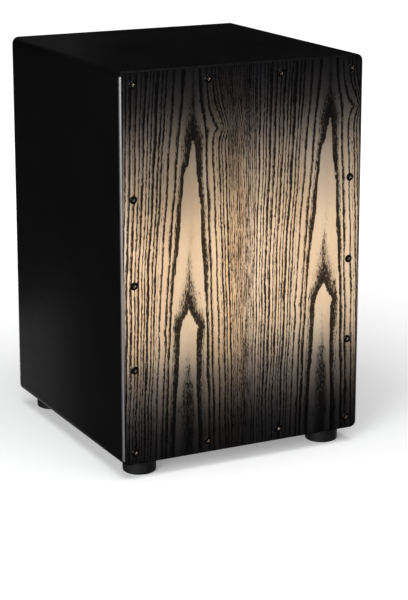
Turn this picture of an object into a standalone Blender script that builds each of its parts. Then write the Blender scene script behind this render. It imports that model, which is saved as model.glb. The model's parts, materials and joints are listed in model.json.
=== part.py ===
"""A cajon: a box drum with a screwed-on front plate, rubber feet and two tunable inner strings.

Units are metres. +Z is up and the front plate faces -Y. The origin is on the floor, under the
middle of the drum.
"""

import math

import bmesh
import bpy
from mathutils import Matrix, Vector

# Box
WIDTH = 0.300
DEPTH = 0.308  # walls and front plate together
BOX_HEIGHT = 0.440
WALL = 0.009
EDGE_RADIUS = 0.008  # on the four edges that run from front to back
GAP = 0.0003  # left between pieces that touch

# Front plate and its screws
PLATE = 0.003
PLATE_EDGE = 0.0012  # bevel round the plate's front
SCREW_INSET_X = 0.015
SCREW_INSET_Z = 0.0145
SCREW_COLUMNS = 4
SCREW_ROW_FALLS = (0.125, 0.0955, 0.0955)  # from row to row, going down the sides
SCREW_HEAD_RADIUS = 0.0038
SCREW_HEAD_RISE = 0.0008
SCREW_SHANK_RADIUS = 0.00175
SCREW_LENGTH = 0.018
SCREW_RECESS_DEPTH = 0.0012  # below the plate's face
CROSS_REACH = 0.57  # of every cross recess, as a share of its head's radius
CROSS_HALF_WIDTH = 0.14  # another share of the head's radius
CROSS_TAPER = 0.5  # of the recess, from its mouth to its bottom

# Battens that frame the inside of the front opening
BATTEN_DEPTH = 0.020
BATTEN_WIDTH = 0.014

# Back panel
BACK = 0.006
BACK_LIP = 0.0045  # wall left round the back panel
SOUND_HOLE_RADIUS = 0.058
SOUND_HOLE_EDGE = 0.002
SOUND_HOLE_RISE = 0.035  # above the middle of the back

# Feet
FOOT_HEIGHT = 0.017
FOOT_RADIUS = 0.019
FOOT_INSET_X = 0.032
FOOT_INSET_Y = 0.027
FOOT_LOW_EDGE = 0.0025
FOOT_TOP_EDGE = 0.0008
FOOT_WEB = 0.006  # rubber above the washer
FOOT_BORE_RADIUS = 0.0085
FOOT_BORE_EDGE = 0.0006
FOOT_SHANK_RADIUS = 0.002
FOOT_SCREW_LENGTH = 0.014
FOOT_SCREW_HEAD_RADIUS = 0.004
FOOT_SCREW_HEAD = 0.0024
FOOT_WASHER = 0.0012
PAN_HEAD_ROUND = 0.5  # share of a pan head's height
PAN_RECESS_DEPTH = 0.62  # share of a pan head's height

# Inner strings
STRING_X = 0.025  # of each string's tension bolt, either side of the middle
STRING_SPREAD = 0.014  # of a string's two upper ends, either side of its bolt
STRING_RADIUS = 0.00045
STRING_Y = 0.0008  # of the wire's centre line, behind the front plate
STRING_BEND = 0.0015
BALL_RADIUS = 0.0019
BALL_LENGTH = 0.0036
BALL_PROFILE = ((1.0, 0.6), (0.85, 1.0), (0.15, 1.0))  # shares of its length and radius
SHEET = 0.0015  # steel of the anchor and the guide plate
ANCHOR_HALF_WIDTH = 0.055
ANCHOR_DROP = 0.008  # of its lip below the top batten
ANCHOR_RISE = 0.012  # of its upright leg up the top batten

# Tension bolts
BOLT_RADIUS = 0.003
BOLT_HEAD_RADIUS = 0.00525
BOLT_HEAD = 0.0033
BOLT_HEAD_PROFILE = ((0.6, 1.0), (0.87, 0.7), (1.0, 0.3))  # shares of radius and height
BOLT_LENGTH = 0.060
BOLT_END_EDGE = 0.0005
BOLT_SOCKET_ACROSS = 0.004
BOLT_SOCKET_DEPTH = 0.0021
BOLT_SINK_RADIUS = 0.007  # of the recess under the box that hides washer and head
BOLT_SINK_DEPTH = 0.003
BOLT_WASHER_RADIUS = 0.00625
BOLT_WASHER = 0.0012
NUT_ACROSS = 0.010
NUT = 0.0045
CARRIAGE_WIDTH = 0.016
CARRIAGE_DEPTH = 0.013
CARRIAGE_HEIGHT = 0.012
CARRIAGE_LIFT = 0.014  # of its underside above the bottom batten
PEG_RADIUS = 0.002
PEG_SHOULDER_RADIUS = 0.0034
TONGUE_WIDTH = 0.006
TONGUE_HEIGHT = 0.008
ROOT_DEPTH = 0.002  # of peg and tongue inside the carriage's block
CARRIAGE_TRAVEL = 0.004  # upwards, as its bolt is turned four times
GUIDE_HALF_WIDTH = 0.050
GUIDE_HEIGHT = 0.052
GUIDE_SLACK = 0.001  # above and below a tongue at the ends of its travel
GUIDE_SCREW_X = 0.010
BRACKET_SCREW_RADIUS = 0.0015
BRACKET_SCREW_HEAD_RADIUS = 0.003
BRACKET_SCREW_HEAD = 0.002
BRACKET_SCREW_LENGTH = 0.012

# Fineness of round shapes
SMOOTH_ANGLE = 35  # degrees; sharper edges than this stay crisp
ARC_STEPS = 4
SMALL_ARC_STEPS = 3
LOOP_STEPS = 12
SCREW_SEGMENTS = 12
BORE_SEGMENTS = 16
FOOT_SEGMENTS = 24
HOLE_SEGMENTS = 40
CLEAR = 0.010  # how far a cutter runs past what it cuts

# Places that follow from the sizes above
FRONT_Y = SCREW_HEAD_RISE - (DEPTH + SCREW_HEAD_RISE) / 2
BACK_Y = FRONT_Y + DEPTH
WALL_Y = FRONT_Y + PLATE + GAP  # front of the walls and battens
BATTEN_BACK_Y = WALL_Y + BATTEN_DEPTH
HALF = WIDTH / 2
LOW_Z = FOOT_HEIGHT
HIGH_Z = FOOT_HEIGHT + BOX_HEIGHT
BATTEN_LOW_Z = LOW_Z + WALL + GAP + BATTEN_WIDTH  # top of the bottom batten
BATTEN_HIGH_Z = HIGH_Z - WALL - GAP - BATTEN_WIDTH  # underside of the top batten
BOLT_Y = WALL_Y + BATTEN_DEPTH / 2
WIRE_Y = FRONT_Y + PLATE + STRING_Y
CARRIAGE_Z = BATTEN_LOW_Z + CARRIAGE_LIFT + CARRIAGE_HEIGHT / 2
LIP_Z = BATTEN_HIGH_Z - ANCHOR_DROP
WIRE_TOP_Z = LIP_Z + SHEET + STRING_BEND


# Materials


def principled(name, colour, roughness, metallic=0.0):
    material = bpy.data.materials.new(name)
    material.use_nodes = True
    shader = material.node_tree.nodes["Principled BSDF"]
    shader.inputs["Base Color"].default_value = (*colour, 1.0)
    shader.inputs["Roughness"].default_value = roughness
    shader.inputs["Metallic"].default_value = metallic
    material.diffuse_color = (*colour, 1.0)
    return material


def make_materials():
    return {
        "black_lacquer": principled("black_lacquer", (0.008, 0.008, 0.009), 0.42),
        "stained_ash": principled("stained_ash", (0.50, 0.35, 0.22), 0.50),
        "pine": principled("pine", (0.62, 0.43, 0.24), 0.65),
        "black_screw": principled("black_screw", (0.02, 0.02, 0.021), 0.30, 0.9),
        "black_rubber": principled("black_rubber", (0.012, 0.012, 0.012), 0.75),
        "zinc_steel": principled("zinc_steel", (0.56, 0.57, 0.58), 0.32, 1.0),
        "spring_steel": principled("spring_steel", (0.70, 0.70, 0.68), 0.22, 1.0),
    }


# Building blocks


def finished(bm, name, smooth=False):
    """The bmesh as a mesh, with its faces pointing out."""
    bmesh.ops.remove_doubles(bm, verts=bm.verts, dist=1e-7)
    bmesh.ops.recalc_face_normals(bm, faces=bm.faces)
    mesh = bpy.data.meshes.new(name)
    bm.to_mesh(mesh)
    bm.free()
    if smooth:
        mesh.shade_smooth()
        mesh.set_sharp_from_angle(angle=math.radians(SMOOTH_ANGLE))
    return mesh


def placed(mesh, material, parent, location=(0, 0, 0), rotation=(0, 0, 0), name=None):
    """A new object that shows the mesh."""
    piece = bpy.data.objects.new(name or mesh.name, mesh)
    bpy.context.scene.collection.objects.link(piece)
    piece.location = location
    piece.rotation_euler = rotation
    if parent is not None:
        piece.parent = parent
    if material is not None and not mesh.materials:
        mesh.materials.append(material)
    return piece


def add_box(bm, low, high):
    centre = (Vector(low) + Vector(high)) / 2
    size = Vector(high) - Vector(low)
    matrix = Matrix.Translation(centre) @ Matrix.Diagonal((*size, 1.0))
    bmesh.ops.create_cube(bm, size=1.0, matrix=matrix)


def box_mesh(name, low, high):
    bm = bmesh.new()
    add_box(bm, low, high)
    return finished(bm, name)


def add_extrusion(bm, outline, start, end):
    """Makes an outline of (first, second) points solid, from where start puts it to where end does."""
    face = bm.faces.new([bm.verts.new(start(a, b)) for a, b in outline])
    made = bmesh.ops.extrude_face_region(bm, geom=[face])["geom"]
    moved = [v for v in made if isinstance(v, bmesh.types.BMVert)]
    bmesh.ops.translate(bm, verts=moved, vec=Vector(end(0, 0)) - Vector(start(0, 0)))
    return moved


def extruded_y(bm, outline, y0, y1):
    """An outline in X and Z, made solid from y0 to y1."""
    return add_extrusion(bm, outline, lambda a, b: (a, y0, b), lambda a, b: (a, y1, b))


def extruded_x(bm, outline, x0, x1):
    """An outline in Y and Z, made solid from x0 to x1."""
    return add_extrusion(bm, outline, lambda a, b: (x0, a, b), lambda a, b: (x1, a, b))


def extruded_z(bm, outline, z0, z1):
    """An outline in X and Y, made solid from z0 to z1."""
    return add_extrusion(bm, outline, lambda a, b: (a, b, z0), lambda a, b: (a, b, z1))


def arc(centre, radius, start, end, steps=ARC_STEPS):
    """Points along an arc, from the start angle to the end angle in degrees."""
    angles = [math.radians(start + (end - start) * i / steps) for i in range(steps + 1)]
    return [(centre[0] + radius * math.cos(a), centre[1] + radius * math.sin(a)) for a in angles]


def turned_mesh(name, profile, segments):
    """A turned solid of its own."""
    bm = bmesh.new()
    add_turned(bm, profile, segments)
    return finished(bm, name, smooth=True)


def add_turned(bm, profile, segments, centre=(0, 0, 0)):
    """Turns (radius, height) points round Z, ring by ring. Points on the axis close the ends."""
    middle = Vector(centre)
    rings = []
    for radius, height in profile:
        if radius == 0:
            rings.append([bm.verts.new(middle + Vector((0, 0, height)))])
            continue
        angles = [math.tau * i / segments for i in range(segments)]
        ring = [Vector((radius * math.cos(a), radius * math.sin(a), height)) for a in angles]
        rings.append([bm.verts.new(middle + point) for point in ring])
    closed = profile[0][0] > 0
    pairs = list(zip(rings, rings[1:]))
    if closed:
        pairs.append((rings[-1], rings[0]))
    for first, second in pairs:
        for i in range(segments):
            j = (i + 1) % segments
            if len(first) == 1:
                corners = [first[0], second[i], second[j]]
            elif len(second) == 1:
                corners = [first[i], second[0], first[j]]
            else:
                corners = [first[i], second[i], second[j], first[j]]
            bm.faces.new(corners)


def polygon(sides, across):
    """A regular outline, given its width across flats."""
    radius = across / 2 / math.cos(math.pi / sides)
    return arc((0, 0), radius, 0, 360 - 360 / sides, sides - 1)


def cut(piece, *cutters):
    """Takes the cutters' shapes out of the piece."""
    for cutter in cutters:
        modifier = piece.modifiers.new(cutter.name, "BOOLEAN")
        modifier.operation = "DIFFERENCE"
        modifier.solver = "EXACT"
        modifier.object = cutter


def join_with(piece, *others):
    """Makes the others' shapes part of the piece."""
    for other in others:
        modifier = piece.modifiers.new(other.name, "BOOLEAN")
        modifier.operation = "UNION"
        modifier.solver = "EXACT"
        modifier.object = other


def helper(mesh, location=(0, 0, 0), rotation=(0, 0, 0)):
    """An object that only shapes others."""
    piece = placed(mesh, None, None, location, rotation)
    piece.hide_render = True
    piece.display_type = "WIRE"
    return piece


def cut_mesh(mesh, cutter_mesh):
    """The mesh with a cutter's shape taken out, as a mesh that several objects can share."""
    piece = placed(mesh, None, None)
    cutter = helper(cutter_mesh)
    cut(piece, cutter)
    graph = bpy.context.evaluated_depsgraph_get()
    result = bpy.data.meshes.new_from_object(piece.evaluated_get(graph))
    result.name = mesh.name
    bpy.data.objects.remove(piece)
    bpy.data.objects.remove(cutter)
    return result


# Box


def lid_outline(base_z, outer_z):
    """The top panel's end, or the bottom panel's when outer_z is the lower of the two."""
    up = 1 if outer_z > base_z else -1
    centre_z = outer_z - up * EDGE_RADIUS
    right = arc((HALF - EDGE_RADIUS, centre_z), EDGE_RADIUS, 0, 90 * up)
    left = [(-x, z) for x, z in reversed(right)]
    return [(HALF, base_z)] + right + left + [(-HALF, base_z)]


def make_walls(parent, lacquer, recess, bottom_holes):
    """The four walls. The back panel's rebate runs round their rear edges."""
    bm = bmesh.new()
    extruded_y(bm, lid_outline(HIGH_Z - WALL, HIGH_Z), WALL_Y, BACK_Y)
    top = placed(finished(bm, "top_panel", smooth=True), lacquer, parent)
    bm = bmesh.new()
    extruded_y(bm, lid_outline(LOW_Z + WALL, LOW_Z), WALL_Y, BACK_Y)
    bottom = placed(finished(bm, "bottom_panel", smooth=True), lacquer, parent)
    walls = [top, bottom]
    for name, side in (("left_panel", -1), ("right_panel", 1)):
        low_x, high_x = sorted((side * HALF, side * (HALF - WALL)))
        low = (low_x, WALL_Y, LOW_Z + WALL + GAP)
        high = (high_x, BACK_Y, HIGH_Z - WALL - GAP)
        walls.append(placed(box_mesh(name, low, high), lacquer, parent))
    for wall in walls:
        cut(wall, recess)
    cut(bottom, bottom_holes)


def back_recess():
    """The space that the back panel lies in, 0.3 mm larger than the panel."""
    reach = HALF - BACK_LIP
    low = (-reach, BACK_Y - BACK - GAP, LOW_Z + BACK_LIP)
    high = (reach, BACK_Y + CLEAR, HIGH_Z - BACK_LIP)
    return helper(box_mesh("back_recess", low, high))


def sound_hole_cutter():
    """A turned plug whose ends flare, so that both rims of the hole are rounded."""
    flare = SOUND_HOLE_RADIUS + SOUND_HOLE_EDGE
    near = arc((flare, SOUND_HOLE_EDGE), SOUND_HOLE_EDGE, 270, 180, SMALL_ARC_STEPS)
    far = [(r, BACK - z) for r, z in reversed(near)]
    profile = [(0, -CLEAR), (flare, -CLEAR)] + near + far
    profile += [(flare, BACK + CLEAR), (0, BACK + CLEAR)]
    mesh = turned_mesh("sound_hole", profile, HOLE_SEGMENTS)
    middle_z = (LOW_Z + HIGH_Z) / 2 + SOUND_HOLE_RISE
    return helper(mesh, (0, BACK_Y - BACK, middle_z), (-math.pi / 2, 0, 0))


def make_back(parent, lacquer):
    reach = HALF - BACK_LIP - GAP
    low = (-reach, BACK_Y - BACK, LOW_Z + BACK_LIP + GAP)
    high = (reach, BACK_Y, HIGH_Z - BACK_LIP - GAP)
    back = placed(box_mesh("back_panel", low, high), lacquer, parent)
    cut(back, sound_hole_cutter())


def make_battens(parent, pine, screw_holes, rear_holes, bolt_holes):
    """Four strips round the inside of the front opening, which the front plate's screws go into."""
    reach = HALF - WALL - GAP
    inner = reach - BATTEN_WIDTH
    low_z, high_z = LOW_Z + WALL + GAP, HIGH_Z - WALL - GAP
    spans = {
        "top_batten": ((-reach, BATTEN_HIGH_Z), (reach, high_z)),
        "bottom_batten": ((-reach, low_z), (reach, BATTEN_LOW_Z)),
        "left_batten": ((-reach, BATTEN_LOW_Z + GAP), (-inner, BATTEN_HIGH_Z - GAP)),
        "right_batten": ((inner, BATTEN_LOW_Z + GAP), (reach, BATTEN_HIGH_Z - GAP)),
    }
    for name, ((x0, z0), (x1, z1)) in spans.items():
        mesh = box_mesh(name, (x0, WALL_Y, z0), (x1, BATTEN_BACK_Y, z1))
        batten = placed(mesh, pine, parent)
        cut(batten, screw_holes)
        if name in ("top_batten", "bottom_batten"):
            cut(batten, rear_holes)
        if name == "bottom_batten":
            cut(batten, bolt_holes)


# Front plate and its screws


def screw_places():
    """The name and (x, z) of each screw through the front plate."""
    x_edge = HALF - SCREW_INSET_X
    high, low = HIGH_Z - SCREW_INSET_Z, LOW_Z + SCREW_INSET_Z
    columns = [x_edge * (2 * i / (SCREW_COLUMNS - 1) - 1) for i in range(SCREW_COLUMNS)]
    places = {"corner_screw_left": (-x_edge, high), "corner_screw_right": (x_edge, high)}
    for i, x in enumerate(columns[1:-1], 1):
        places[f"plate_screw_top_{i}"] = (x, high)
    for i, x in enumerate(columns, 1):
        places[f"plate_screw_bottom_{i}"] = (x, low)
    z = high
    for row, fall in enumerate(SCREW_ROW_FALLS, 1):
        z -= fall
        places[f"plate_screw_left_{row}"] = (-x_edge, z)
        places[f"plate_screw_right_{row}"] = (x_edge, z)
    return places


def plate_outline():
    x, r = HALF, EDGE_RADIUS
    corners = (
        ((x - r, HIGH_Z - r), 0),
        ((r - x, HIGH_Z - r), 90),
        ((r - x, LOW_Z + r), 180),
        ((x - r, LOW_Z + r), 270),
    )
    return [point for centre, start in corners for point in arc(centre, r, start, start + 90)]


def make_plate(parent, ash, screw_holes):
    """The front plate, with its front edge bevelled all round."""
    bm = bmesh.new()
    extruded_y(bm, plate_outline(), FRONT_Y, FRONT_Y + PLATE)
    rim = [e for e in bm.edges if all(abs(v.co.y - FRONT_Y) < GAP for v in e.verts)]
    bmesh.ops.bevel(bm, geom=rim, offset=PLATE_EDGE, segments=2, affect="EDGES", profile=0.5)
    plate = placed(finished(bm, "front_plate", smooth=True), ash, parent)
    cut(plate, screw_holes)


def plate_screw_holes(places):
    """A countersunk clearance hole for each screw, through the plate and into its batten."""
    head, shank = SCREW_HEAD_RADIUS + GAP, SCREW_SHANK_RADIUS + GAP
    above = SCREW_HEAD_RADIUS
    profile = [
        (0, above),
        (head, above),
        (head, 0),
        (shank, shank - head),
        (shank, -SCREW_LENGTH - GAP),
        (0, -SCREW_LENGTH - GAP),
    ]
    bm = bmesh.new()
    for x, z in places.values():
        add_turned(bm, profile, SCREW_SEGMENTS, (x, z, 0))
    # Local Z points out of the plate, and local Y points up.
    return helper(finished(bm, "plate_screw_holes"), (0, FRONT_Y, 0), (math.pi / 2, 0, 0))


def cross_cutter(head_radius, top, bottom):
    """A cross-shaped plug, narrower at its bottom, for a screwdriver's recess."""
    a, b = head_radius * CROSS_HALF_WIDTH, head_radius * CROSS_REACH
    quarter = [(b, -a), (b, a), (a, a)]
    outline = []
    for turn in range(4):
        c, s = round(math.cos(turn * math.pi / 2)), round(math.sin(turn * math.pi / 2))
        outline += [(c * x - s * y, s * x + c * y) for x, y in quarter]
    bm = bmesh.new()
    moved = extruded_z(bm, outline, top, bottom)
    bmesh.ops.scale(bm, verts=moved, vec=(CROSS_TAPER, CROSS_TAPER, 1.0))
    return finished(bm, "cross")


def plate_screw_mesh():
    """A countersunk screw with a slightly domed head. Its head points along +Z."""
    rise, radius = SCREW_HEAD_RISE, SCREW_HEAD_RADIUS
    dome_radius = (radius**2 + rise**2) / (2 * rise)
    edge_angle = math.degrees(math.asin(radius / dome_radius))
    dome = arc((0, rise - dome_radius), dome_radius, 90, 90 - edge_angle, SMALL_ARC_STEPS)
    shank = SCREW_SHANK_RADIUS
    tip = SCREW_LENGTH - 2 * shank
    profile = [(0, rise)] + dome[1:-1]
    profile += [(radius, 0), (shank, shank - radius), (shank, -tip), (0, -SCREW_LENGTH)]
    body = turned_mesh("plate_screw", profile, SCREW_SEGMENTS)
    return cut_mesh(body, cross_cutter(radius, rise + GAP, -SCREW_RECESS_DEPTH))


def make_plate_screws(parent, material, places):
    mesh = plate_screw_mesh()
    for name, (x, z) in places.items():
        placed(mesh, material, parent, (x, FRONT_Y, z), (math.pi / 2, 0, 0), name)


# Feet


def foot_mesh():
    """A turned foot with a rounded lower edge and a bore for its washer and screw."""
    top, low, high = FOOT_HEIGHT - GAP, FOOT_LOW_EDGE, FOOT_TOP_EDGE
    bore_top = top - FOOT_WEB
    shank = FOOT_SHANK_RADIUS + GAP
    profile = arc((FOOT_RADIUS - low, low), low, -90, 0)
    profile += arc((FOOT_RADIUS - high, top - high), high, 0, 90, SMALL_ARC_STEPS)
    profile += [(shank, top), (shank, bore_top), (FOOT_BORE_RADIUS, bore_top)]
    profile += [(FOOT_BORE_RADIUS, FOOT_BORE_EDGE), (FOOT_BORE_RADIUS + FOOT_BORE_EDGE, 0)]
    return turned_mesh("foot", profile, FOOT_SEGMENTS)


def washer_mesh(name, bore, radius, thickness):
    profile = [(bore, 0), (radius, 0), (radius, thickness), (bore, thickness)]
    return turned_mesh(name, profile, BORE_SEGMENTS)


def pan_screw_mesh(name, radius, head, shank, length):
    """A pan-head screw. Its head stands on Z = 0 and its shank runs down."""
    edge = head * PAN_HEAD_ROUND
    profile = [(0, head)] + arc((radius - edge, head - edge), edge, 90, 0, SMALL_ARC_STEPS)
    profile += [(radius, 0), (shank, 0), (shank, 2 * shank - length), (0, -length)]
    body = turned_mesh(name, profile, SCREW_SEGMENTS)
    return cut_mesh(body, cross_cutter(radius, head + GAP, head * (1 - PAN_RECESS_DEPTH)))


def foot_places():
    x = HALF - FOOT_INSET_X
    front, back = FRONT_Y + FOOT_INSET_Y, BACK_Y - FOOT_INSET_Y
    return {
        "front_left": (-x, front),
        "front_right": (x, front),
        "back_left": (-x, back),
        "back_right": (x, back),
    }


def make_feet(parent, rubber, steel):
    foot = foot_mesh()
    head = (FOOT_SCREW_HEAD_RADIUS, FOOT_SCREW_HEAD)
    screw = pan_screw_mesh("foot_screw", *head, FOOT_SHANK_RADIUS, FOOT_SCREW_LENGTH)
    washer = washer_mesh("washer", FOOT_SHANK_RADIUS + GAP, FOOT_BORE_RADIUS - GAP, FOOT_WASHER)
    washer_z = FOOT_HEIGHT - GAP - FOOT_WEB - GAP - FOOT_WASHER
    for corner, (x, y) in foot_places().items():
        placed(foot, rubber, parent, (x, y, 0), name=f"foot_{corner}")
        placed(washer, steel, parent, (x, y, washer_z), name=f"foot_washer_{corner}")
        place = (x, y, washer_z - GAP)
        placed(screw, steel, parent, place, (math.pi, 0, 0), f"foot_screw_{corner}")


def bottom_holes():
    """Blind holes for the foot screws, and stepped holes for the two tension bolts."""
    washer_z = FOOT_HEIGHT - 2 * GAP - FOOT_WEB - FOOT_WASHER
    tip_z = washer_z - GAP + FOOT_SCREW_LENGTH
    radius = FOOT_SHANK_RADIUS + GAP
    below = LOW_Z - FOOT_WEB
    bm = bmesh.new()
    for x, y in foot_places().values():
        profile = [(0, below), (radius, below), (radius, tip_z + GAP), (0, tip_z + GAP)]
        add_turned(bm, profile, SCREW_SEGMENTS, (x, y, 0))
    sink_z = LOW_Z + BOLT_SINK_DEPTH
    shank, sink = BOLT_RADIUS + GAP, BOLT_SINK_RADIUS
    profile = [(0, below), (sink, below), (sink, sink_z), (shank, sink_z)]
    profile += [(shank, BATTEN_LOW_Z), (0, BATTEN_LOW_Z)]
    for side in (-1, 1):
        add_turned(bm, profile, BORE_SEGMENTS, (side * STRING_X, BOLT_Y, 0))
    return helper(finished(bm, "bottom_holes"))


def bolt_holes():
    """The tension bolts' holes through the bottom batten."""
    radius = BOLT_RADIUS + GAP
    above = BATTEN_LOW_Z + CLEAR
    profile = [(0, LOW_Z), (radius, LOW_Z), (radius, above), (0, above)]
    bm = bmesh.new()
    for side in (-1, 1):
        add_turned(bm, profile, BORE_SEGMENTS, (side * STRING_X, BOLT_Y, 0))
    return helper(finished(bm, "bolt_holes"))


# Strings and their upper anchor


def bracket_screw_places():
    """(x, z) of the screws that hold the string anchor and the guide plate to the battens."""
    anchor_z = BATTEN_HIGH_Z + BATTEN_WIDTH / 2
    guide_z = BATTEN_LOW_Z - BATTEN_WIDTH / 2
    return {
        "anchor_screw_left": (-STRING_X, anchor_z),
        "anchor_screw_right": (STRING_X, anchor_z),
        "guide_screw_left": (-GUIDE_SCREW_X, guide_z),
        "guide_screw_right": (GUIDE_SCREW_X, guide_z),
    }


def bracket_screw_holes():
    """Clearance holes that run forward from behind the brackets, and end in the battens."""
    radius = BRACKET_SCREW_RADIUS + GAP
    depth = BRACKET_SCREW_LENGTH + GAP
    profile = [(0, CLEAR), (radius, CLEAR), (radius, -depth), (0, -depth)]
    bm = bmesh.new()
    for x, z in bracket_screw_places().values():
        add_turned(bm, profile, SCREW_SEGMENTS, (x, -z, 0))
    # Local Z points backwards, and local Y points down.
    place = (0, BATTEN_BACK_Y + GAP + SHEET + GAP, 0)
    return helper(finished(bm, "bracket_screw_holes"), place, (-math.pi / 2, 0, 0))


def make_bracket_screws(parent, steel):
    head = (BRACKET_SCREW_HEAD_RADIUS, BRACKET_SCREW_HEAD)
    mesh = pan_screw_mesh("bracket_screw", *head, BRACKET_SCREW_RADIUS, BRACKET_SCREW_LENGTH)
    y = BATTEN_BACK_Y + GAP + SHEET + GAP
    for name, (x, z) in bracket_screw_places().items():
        placed(mesh, steel, parent, (x, y, z), (-math.pi / 2, 0, 0), name)


def string_ends_x():
    """Where the strings' upper ends pass the anchor."""
    return [s * STRING_X + t * STRING_SPREAD for s in (-1, 1) for t in (-1, 1)]


def make_anchor(parent, steel, screw_holes):
    """A bent plate. Its upright leg is screwed to the top batten, and the strings bend over its lip."""
    leg_y = BATTEN_BACK_Y + GAP
    back_y, lip_y = leg_y + SHEET, WIRE_Y + STRING_RADIUS + GAP
    top_z, bend = BATTEN_HIGH_Z + ANCHOR_RISE, 2 * SHEET
    outer = arc((back_y - bend, LIP_Z + bend), bend, 270, 360)
    inner = arc((back_y - bend, LIP_Z + bend), bend - SHEET, 360, 270)
    outline = [(lip_y, LIP_Z)] + outer + [(back_y, top_z), (leg_y, top_z)]
    outline += inner + [(lip_y, LIP_Z + SHEET)]
    bm = bmesh.new()
    extruded_x(bm, outline, -ANCHOR_HALF_WIDTH, ANCHOR_HALF_WIDTH)
    anchor = placed(finished(bm, "string_anchor", smooth=True), steel, parent)
    bm = bmesh.new()
    radius = STRING_RADIUS + 2 * GAP
    for x in string_ends_x():
        profile = [(0, -CLEAR), (radius, -CLEAR), (radius, CLEAR), (0, CLEAR)]
        add_turned(bm, profile, SCREW_SEGMENTS, (x, WIRE_TOP_Z, 0))
    wire_holes = helper(finished(bm, "wire_holes"), (0, leg_y + CLEAR / 2, 0), (math.pi / 2, 0, 0))
    cut(anchor, screw_holes, wire_holes)


def string_route(middle_x):
    """Points along one wire: ball end, anchor, peg, anchor, ball end. Each has a thickness."""
    peg_path = PEG_RADIUS + GAP + STRING_RADIUS
    left_x, right_x = middle_x - STRING_SPREAD, middle_x + STRING_SPREAD
    ball_y = BATTEN_BACK_Y + GAP + SHEET + GAP
    bend_z, bend_y = WIRE_TOP_Z - STRING_BEND, WIRE_Y + STRING_BEND
    ball = BALL_RADIUS / STRING_RADIUS

    def upper(x):
        """One upper end, from the ball forward over the lip to the top of the free wire."""
        run = [
            (Vector((x, ball_y + BALL_LENGTH * along, WIRE_TOP_Z)), ball * share)
            for along, share in BALL_PROFILE
        ]
        run.append((Vector((x, ball_y, WIRE_TOP_Z)), 1.0))
        for y, z in arc((bend_y, bend_z), STRING_BEND, 90, 180):
            run.append((Vector((x, y, z)), 1.0))
        return run

    # The free wires lean in, and touch the loop round the peg where it faces them.
    lean = math.degrees(math.atan2(STRING_SPREAD - peg_path, bend_z - CARRIAGE_Z))
    loop = arc((middle_x, CARRIAGE_Z), peg_path, 180 + lean, 360 - lean, LOOP_STEPS)
    route = upper(left_x)
    route += [(Vector((x, WIRE_Y, z)), 1.0) for x, z in loop]
    return route + list(reversed(upper(right_x)))


def make_strings(parent, material):
    for name, side in (("string_left", -1), ("string_right", 1)):
        route = string_route(side * STRING_X)
        curve = bpy.data.curves.new(name, "CURVE")
        curve.dimensions = "3D"
        curve.bevel_depth = STRING_RADIUS
        curve.bevel_resolution = 2
        curve.use_fill_caps = True
        spline = curve.splines.new("POLY")
        spline.points.add(len(route) - 1)
        for point, (place, thickness) in zip(spline.points, route):
            point.co = (*place, 1.0)
            point.radius = thickness
        placed(curve, material, parent, name=name)


# Tension bolts


def bolt_mesh():
    """A button-head screw with a hexagon socket. Its head stands on Z = 0 and its shank runs down."""
    shank, edge = BOLT_RADIUS, BOLT_END_EDGE
    profile = [(0, BOLT_HEAD)]
    profile += [(BOLT_HEAD_RADIUS * r, BOLT_HEAD * h) for r, h in BOLT_HEAD_PROFILE]
    profile += [(BOLT_HEAD_RADIUS, 0), (shank, 0)]
    profile += [(shank, edge - BOLT_LENGTH), (shank - edge, -BOLT_LENGTH), (0, -BOLT_LENGTH)]
    body = turned_mesh("tension_bolt", profile, BORE_SEGMENTS)
    bm = bmesh.new()
    hexagon = polygon(6, BOLT_SOCKET_ACROSS)
    extruded_z(bm, hexagon, BOLT_HEAD + GAP, BOLT_HEAD - BOLT_SOCKET_DEPTH)
    return cut_mesh(body, finished(bm, "socket"))


def nut_mesh():
    bm = bmesh.new()
    extruded_z(bm, polygon(6, NUT_ACROSS), 0, NUT)
    nut = finished(bm, "nut")
    bm = bmesh.new()
    radius = BOLT_RADIUS + GAP
    profile = [(0, -NUT), (radius, -NUT), (radius, 2 * NUT), (0, 2 * NUT)]
    add_turned(bm, profile, BORE_SEGMENTS)
    return cut_mesh(nut, finished(bm, "nut_bore"))


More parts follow.
